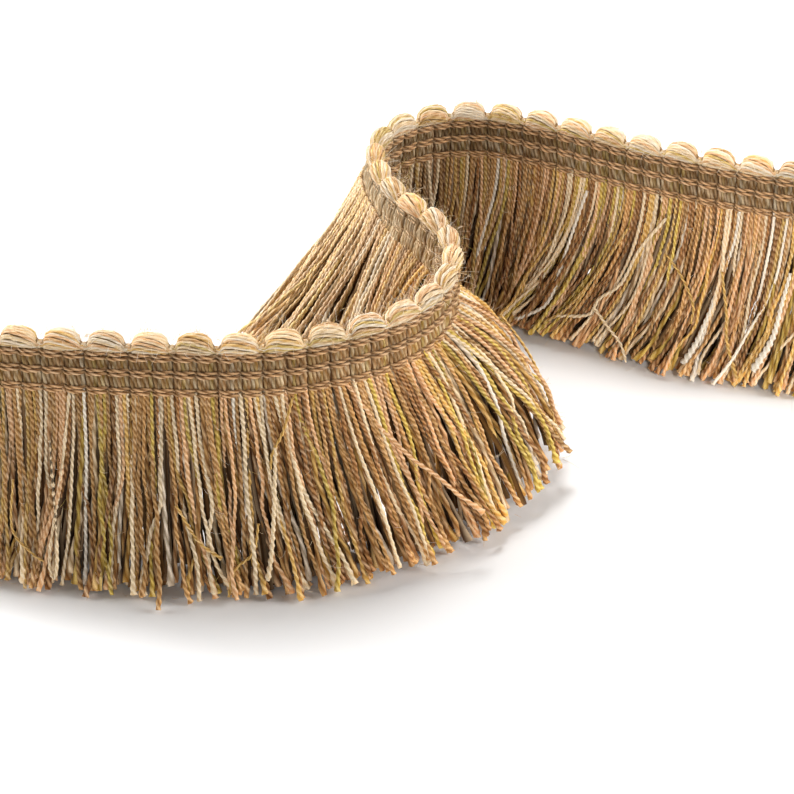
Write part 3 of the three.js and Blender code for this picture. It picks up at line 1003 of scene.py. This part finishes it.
class TRIM_OT_loops(bpy.types.Operator):
    """Makes the looped edge: each loop is a dome of yarns from one neck to the next"""

    bl_idname = "trim.loops"
    bl_label = "Make loops"

    def execute(self, context):
        s = sizes()
        loops = StrandMesh("edge_loops")
        rng = np.random.default_rng(LOOP_SEED)
        count = round(TOTAL_LENGTH / s.loop_pitch)
        n = count * LOOP_STRANDS
        t = (0.5 - 0.5 * np.cos(np.linspace(0, math.pi, LOOP_RINGS)))[None]
        loop = np.repeat(np.arange(count), LOOP_STRANDS)[:, None]
        strand = np.tile(np.arange(LOOP_STRANDS), count)[:, None]
        around = (strand + rng.uniform(-STRAND_STRAY, STRAND_STRAY, (n, 1))) * (2 * math.pi / LOOP_STRANDS)
        around = around + LOOP_SPREAD * (t - 0.5) + rng.normal(0, LOOP_STRAY, (count, 1))[loop[:, 0]]
        belly = loop_belly(t)
        fullness = (s.loop_radius - LOOP_YARN_HALF) * rng.uniform(*LOOP_FULLNESS, (n, 1))
        radius = LOOP_NECK + (fullness - LOOP_NECK) * belly
        along = (loop + 0.5) * s.loop_pitch + (t - 0.5) * (s.loop_pitch * LOOP_OVERLAP)
        axes = Axes(np.clip(along, 0, TOTAL_LENGTH))
        sink = -NECK_SINK * (1 - belly)
        lines = axes.place(radius * LOOP_ACROSS * np.cos(around), radius * np.sin(around) + sink)
        half = LOOP_YARN_HALF * rng.uniform(*LOOP_WIDTHS, (n, 1))
        half = half * (1 - NECK_THINNING * (1 - belly))
        turn = ring_turns(rng, n, LOOP_RINGS, LOOP_TWIST)
        base = evened(pick_colours(rng, n, LOOP_SHARES), LOOP_EVENNESS)
        base = base * rng.uniform(*LOOP_TONES, (count, 1))[loop[:, 0]]
        shades = ply_shades(rng, base, LOOP_RINGS, groove_shade=0.95, spread=0.08, crown=1.18)
        # Painted light: lighter at the top of each loop, painted shade at its bottom
        shades = shades * (LOOP_MID_SHADE + LOOP_TOP_HIGHLIGHT * np.sin(around))[..., None, None]
        loops.add(lines, axes.rise, half, half * LOOP_FLATNESS, turn, shades)
        self._cores(loops, count)
        dress(loops.build(yarn_material("loop_yarn")), "heading_weave", "heading_band")
        return {"FINISHED"}

    def _cores(self, loops, count):
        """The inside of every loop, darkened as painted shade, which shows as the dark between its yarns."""
        s = sizes()
        t = np.linspace(0, 1, CORE_RINGS)[None]
        loop = np.arange(count)[:, None]
        axes = Axes(np.clip((loop + t) * s.loop_pitch, 0, TOTAL_LENGTH))
        nothing = np.zeros((count, CORE_RINGS))
        belly = loop_belly(t)
        radius = CORE_NECK + (s.loop_radius - CORE_INSET) * belly + nothing
        sink = -NECK_SINK * (1 - belly) + nothing
        # The core is painted dark tan as the shade between a loop's yarns
        shade = np.array(colours().tan) * CORE_SHADE
        loops.add(axes.place(nothing, sink), axes.rise, radius, radius, 0.0, shade, CORE_SIDES)


# Loose ends


def hand_laid(points, rings):
    """A smooth line through a few given points, as rings evenly spread along it."""
    points = np.array(points, dtype=float)
    knots = np.linspace(0, 1, len(points))
    t = np.linspace(0, 1, rings)
    padded = np.vstack([2 * points[0] - points[1], points, 2 * points[-1] - points[-2]])
    place = np.clip(np.searchsorted(knots, t, side="right") - 1, 0, len(points) - 2)
    u = ((t - knots[place]) * (len(points) - 1))[:, None]
    a, b, c, d = (padded[place + k] for k in range(4))
    return 0.5 * (2 * b + (c - a) * u + (2 * a - 5 * b + 4 * c - d) * u**2 + (3 * b - a - 3 * c + d) * u**3)


# Loose yarns laid over the skirt: colour, width as a share of a skirt yarn's, how much
# wider the end is, and the points of the route, each in mm along the trim, left of the line of
# loops and over the floor
LOOSE_COLUMNS = ("along", "left", "height")
LOOSE_YARNS = (
    (
        "cream", 0.9, 0,
        ((29, -1.2, 38), (27, -3.8, 22), (25, -9, 7), (26, -10.6, 3), (26.5, -9, 9), (25, -2.8, 28))
    ),
    ("gold", 0.6, 0, ((18, -4.4, 20), (18, -7.4, 11), (22, -9.2, 7), (24, -9.8, 6))),
    ("gold", 0.75, 0, ((69, -1.8, 37), (67, -3.2, 31), (65, -3.8, 27), (64.5, -4.6, 24))),
    ("cream", 0.95, 0.5, ((65.5, -3.6, 28), (65, -5.6, 21), (64, -9, 10), (63, -11.2, 4))),
    ("gold", 0.75, 0.3, ((48, -5.6, 17), (52, -8, 11), (56, -9.4, 8))),
    ("gold", 0.7, 0.3, ((62, -7.2, 14), (61, -9.2, 9), (58, -10.2, 6), (57, -12.4, 1.5))),
    ("gold", 0.75, 0, ((125, -11, 29), (122, -15.4, 23), (120, -18, 18), (119, -19.8, 13), (113, -20.5, 10))),
    ("gold", 0.75, 0, ((112, -10.5, 27), (112, -14.4, 23), (112, -18, 18), (116, -21.6, 8))),
    ("white", 0.95, 0.2, ((224, -1.6, 35), (222, -2.8, 27), (220, -4.4, 18), (218, -7, 9), (211, -8.6, 4))),
    ("gold", 0.85, 0, ((234, -2.2, 29), (228, -4.8, 17), (223, -7.2, 9), (218, -8.6, 5))),
    (
        "cream", 1, 0,
        ((242, -1.6, 33), (237, -2.8, 25), (234, -4.6, 17), (230, -6, 13), (228, -7, 9), (221, -7.8, 7))
    ),
    ("cream", 0.8, 0, ((229, -6.6, 11), (233, -7.6, 7.5), (236, -8.4, 5), (238, -9.6, 1.5))),
    ("gold", 0.8, 0, ((243, -2.4, 25), (247, -3.6, 21), (250, -5, 16), (250, -5.8, 12))),
    ("gold", 0.8, 0.5, ((255, -3, 24), (257, -5, 16), (258, -6.8, 10), (261, -9, 3))),
    ("white", 1, 1.2, ((254, -4, 17), (253, -5.8, 13), (252, -7.2, 9), (250, -9, 4))),
    ("white", 1, 1.2, ((269, -2.6, 26), (268, -4.2, 19), (267, -6, 12), (264, -8.2, 5))),
)
LOOSE_SEED = 29
LOOSE_RINGS = 66
LOOSE_FLATNESS = 0.62
# The direction that a loose yarn's sections are turned from
LOOSE_GUIDE = (1.0, 0.3, 0.2)


class TRIM_OT_loose(bpy.types.Operator):
    """Makes the loose yarns that stray over the skirt"""

    bl_idname = "trim.loose"
    bl_label = "Make loose yarns"

    def execute(self, context):
        s = sizes()
        rng = np.random.default_rng(LOOSE_SEED)
        t = np.linspace(0, 1, LOOSE_RINGS)
        lines, base, halves = [], [], []
        for colour, width, flare, laid in LOOSE_YARNS:
            route = dict(zip(LOOSE_COLUMNS, hand_laid(laid, LOOSE_RINGS).T * MM))
            axes = Axes(route["along"])
            line = axes.origin + axes.left * route["left"][:, None]
            line[:, 2] = np.maximum(route["height"], s.yarn_width * RESTING)
            lines.append(line)
            base.append(list(getattr(colours(), colour)))
            halves.append(s.yarn_width / 2 * width * (1 + flare * t**2))
        lines = np.array(lines)
        half = np.array(halves)
        steps = np.linalg.norm(np.diff(lines, axis=1, prepend=lines[:, :1]), axis=-1)
        turn = -math.pi / s.ply_length * np.cumsum(steps, axis=1)
        shades = ply_shades(rng, np.array(base), LOOSE_RINGS)
        loose = StrandMesh("loose_yarns")
        loose.add(lines, np.array(LOOSE_GUIDE), half, half * LOOSE_FLATNESS, turn, shades)
        dress(loose.build(yarn_material("loose_yarn")), "fringe_yarn")
        return {"FINISHED"}


# The fibres: how many, half width at the root and how much less at the tip, rings, sides, lengths,
# how far they drift aside at the end and at the bend, and how far out both stand
FUZZ_SEED = 17
LOOP_HAIRS = 2100
SKIRT_HAIRS = 1500
HAIR_HALF = 0.034 * MM
HAIR_TAPER = 0.5
HAIR_RINGS = 3
HAIR_SIDES = 3
HAIR_LENGTHS = (0.5 * MM, 2.4 * MM)
HAIR_DRIFT = 0.7
BEND_DRIFT = 0.4
HAIR_OUT = 0.6
BEND_OUT = 0.6
# Where they root: angles round a loop and the radius of its neck, and on the skirt how far out, how
# far from the cut ends, how high the tips are, and the rings of the lines that they stand on
HAIR_ANGLES = (math.radians(-20), math.radians(200))
HAIR_NECK = 0.6 * MM
SKIRT_FACE = 1.1 * MM
SKIRT_END = 2 * MM
SKIRT_LIFT = 0.5 * MM
SKIRT_RINGS = 12


class TRIM_OT_fuzz(bpy.types.Operator):
    """Makes the fine fibres that stand off the loops and the skirt"""

    bl_idname = "trim.fuzz"
    bl_label = "Make fuzz"

    def execute(self, context):
        rng = np.random.default_rng(FUZZ_SEED)
        places = [self._on_loops(rng), self._on_skirt(rng)]
        start, out, forward = (np.concatenate(parts) for parts in zip(*places))
        n = len(start)
        length = rng.uniform(*HAIR_LENGTHS, (n, 1))
        drift = np.clip(rng.normal(0, HAIR_DRIFT, (n, 3)), -1, 1)
        turned = start + (out + BEND_DRIFT * drift) * length * BEND_OUT
        end = start + (out * HAIR_OUT + drift) * length
        end[:, 2] = np.maximum(end[:, 2], HAIR_HALF)
        t = np.linspace(0, 1, HAIR_RINGS)[None, :, None]
        lines = (1 - t) ** 2 * start[:, None] + 2 * t * (1 - t) * turned[:, None] + t**2 * end[:, None]
        base = pick_colours(rng, n, LOOP_SHARES)
        half = HAIR_HALF * (1 - HAIR_TAPER * np.linspace(0, 1, HAIR_RINGS))[None]
        shades = np.broadcast_to(base[:, None, None], (n, HAIR_RINGS, 3, 3))
        fuzz = StrandMesh("loop_fuzz")
        fuzz.add(lines, forward[:, None], half, half, 0.0, shades, HAIR_SIDES)
        dress(fuzz.build(yarn_material("loose_fibre")), "heading_weave")
        return {"FINISHED"}

    def _on_loops(self, rng):
        """Roots of the fibres of the loops, their way out and the way along the trim."""
        s = sizes()
        along = rng.uniform(0, TOTAL_LENGTH, LOOP_HAIRS)
        axes = Axes(along)
        angle = rng.uniform(*HAIR_ANGLES, LOOP_HAIRS)
        radius = HAIR_NECK + (s.loop_radius - HAIR_NECK) * loop_belly((along / s.loop_pitch) % 1)
        start = axes.place(radius * np.cos(angle), radius * np.sin(angle))
        out = axes.face * np.cos(angle)[:, None] + axes.rise * np.sin(angle)[:, None]
        return start, out, axes.forward

    def _on_skirt(self, rng):
        """The same for the fibres of the skirt's outer yarns."""
        n, rings = SKIRT_HAIRS, SKIRT_RINGS
        along = rng.uniform(SKIRT_END, TOTAL_LENGTH - SKIRT_END, n)
        side = rng.choice((1.0, -1.0), n)
        edge = np.where(side > 0, column_at("left", along), column_at("right", along)) * MM
        length = np.full(n, sizes().strand_length)
        lines, root = skirt_lines(along, side * SKIRT_FACE, along, edge, length, SKIRT_LIFT, rings, rng, 0.0)
        ring = rng.integers(2, rings, n)
        return lines[np.arange(n), ring], root.left * side[:, None], root.forward


class TRIM_OT_declare(bpy.types.Operator):
    bl_idname = "trim.declare"
    bl_label = "Declare the cloth"

    def execute(self, context):
        return {"FINISHED"}


# Soft lights: name, power in watts, width and place in metres
SOFT_LIGHTS = (
    ("over_and_behind", 4.6, 0.25, (-0.05, 0.30, 0.80)),
    ("back_left", 5.2, 0.25, (-0.60, 0.35, 0.45)),
    ("left", 3.4, 0.45, (-0.75, 0.0, 0.32)),
    ("right", 5.6, 0.45, (0.75, -0.15, 0.35)),
    ("low_front", 1.4, 0.25, (0.0, -0.70, 0.12)),
)
LIGHT_AIM = Vector((0, 0, 0.03))
# The light on the back run: power in watts, width of its beam, place, aim and softness in metres
BACK_RUN_POWER = 16.0
BACK_RUN_BEAM = math.radians(10)
BACK_RUN_PLACE = Vector((0.20, -0.60, 0.35))
BACK_RUN_AIM = Vector((0.065, 0.03, 0.0))
BACK_RUN_SOFTNESS = 0.06
# Half the floor's width in metres and its roughness, the camera's sensor in mm, and how near in
# metres it sees
FLOOR_HALF = 3.0
FLOOR_ROUGHNESS = 0.9
SENSOR_WIDTH = 36
CLIP_START = 0.01


class TRIM_OT_stage(bpy.types.Operator):
    """Makes the pale floor, the soft light and the camera at the photo's angle"""

    bl_idname = "trim.stage"
    bl_label = "Make stage"

    def execute(self, context):
        stage = context.scene.stage_settings
        mesh = bpy.data.meshes.new("floor")
        corners = [(x * FLOOR_HALF, y * FLOOR_HALF, 0) for x, y in ((-1, -1), (1, -1), (1, 1), (-1, 1))]
        mesh.from_pydata(corners, [], [(0, 1, 2, 3)])
        mesh.materials.append(plain_material("pale_floor", stage.floor_colour, FLOOR_ROUGHNESS))
        floor = bpy.data.objects.new("floor", mesh)
        context.scene.collection.objects.link(floor)
        for name, power, size, place in SOFT_LIGHTS:
            lamp = bpy.data.lights.new(name, "AREA")
            lamp.size = size
            self._hang(lamp, power * stage.power, Vector(place), LIGHT_AIM)
        beam = bpy.data.lights.new("back_run", "SPOT")
        beam.spot_size = BACK_RUN_BEAM
        beam.spot_blend = 1
        beam.shadow_soft_size = BACK_RUN_SOFTNESS
        self._hang(beam, BACK_RUN_POWER * stage.power, BACK_RUN_PLACE, BACK_RUN_AIM)
        world = context.scene.world or bpy.data.worlds.new("soft_sky")
        context.scene.world = world
        world.use_nodes = True
        sky = world.node_tree.nodes["Background"]
        sky.inputs["Color"].default_value = (1, 1, 1, 1)
        sky.inputs["Strength"].default_value = stage.sky
        camera = bpy.data.objects.new("camera", bpy.data.cameras.new("camera"))
        camera.data.lens = stage.lens
        camera.data.sensor_width = SENSOR_WIDTH
        camera.data.clip_start = CLIP_START
        camera.location = stage.place
        camera.rotation_euler = (math.pi / 2 - stage.pitch, 0, 0)
        context.scene.collection.objects.link(camera)
        context.scene.camera = camera
        context.scene.view_settings.view_transform = "Standard"
        return {"FINISHED"}

    def _hang(self, lamp, power, place, aim):
        """Puts a lamp at its place and turns it to its aim."""
        lamp.energy = power
        light = bpy.data.objects.new(lamp.name, lamp)
        light.location = place
        light.rotation_euler = (aim - place).to_track_quat("-Z", "Y").to_euler()
        bpy.context.scene.collection.objects.link(light)


class TRIM_PT_panel(bpy.types.Panel):
    """Sizes, colours and pieces of the trim"""

    bl_label = "Brush fringe trim"
    bl_idname = "TRIM_PT_panel"
    bl_space_type = "VIEW_3D"
    bl_region_type = "UI"
    bl_category = "Fringe"

    def draw(self, context):
        for group in (context.scene.trim_sizes, context.scene.yarn_colours, context.scene.stage_settings):
            box = self.layout.box()
            for name in group.bl_rna.properties.keys():
                if name not in ("rna_type", "name"):
                    box.prop(group, name)
        for operator in OPERATORS:
            self.layout.operator(operator.bl_idname)


GROUPS = (TrimSizes, YarnColours, StageSettings)
OPERATORS = (
    TRIM_OT_ground,
    TRIM_OT_weft,
    TRIM_OT_warp,
    TRIM_OT_loops,
    TRIM_OT_skirt,
    TRIM_OT_loose,
    TRIM_OT_fuzz,
    TRIM_OT_declare,
    TRIM_OT_stage,
)


def register():
    for cls in GROUPS + OPERATORS + (TRIM_PT_panel,):
        bpy.utils.register_class(cls)
    bpy.types.Scene.trim_sizes = PointerProperty(type=TrimSizes)
    bpy.types.Scene.yarn_colours = PointerProperty(type=YarnColours)
    bpy.types.Scene.stage_settings = PointerProperty(type=StageSettings)


def unregister():
    del bpy.types.Scene.stage_settings
    del bpy.types.Scene.yarn_colours
    del bpy.types.Scene.trim_sizes
    for cls in reversed(GROUPS + OPERATORS + (TRIM_PT_panel,)):
        bpy.utils.unregister_class(cls)


def main():
    register()
    bpy.ops.trim.ground()
    bpy.ops.trim.weft()
    bpy.ops.trim.warp()
    bpy.ops.trim.loops()
    bpy.ops.trim.skirt()
    bpy.ops.trim.loose()
    bpy.ops.trim.fuzz()
    bpy.ops.trim.declare()
    bpy.ops.trim.stage()


if __name__ == "__main__":
    main()
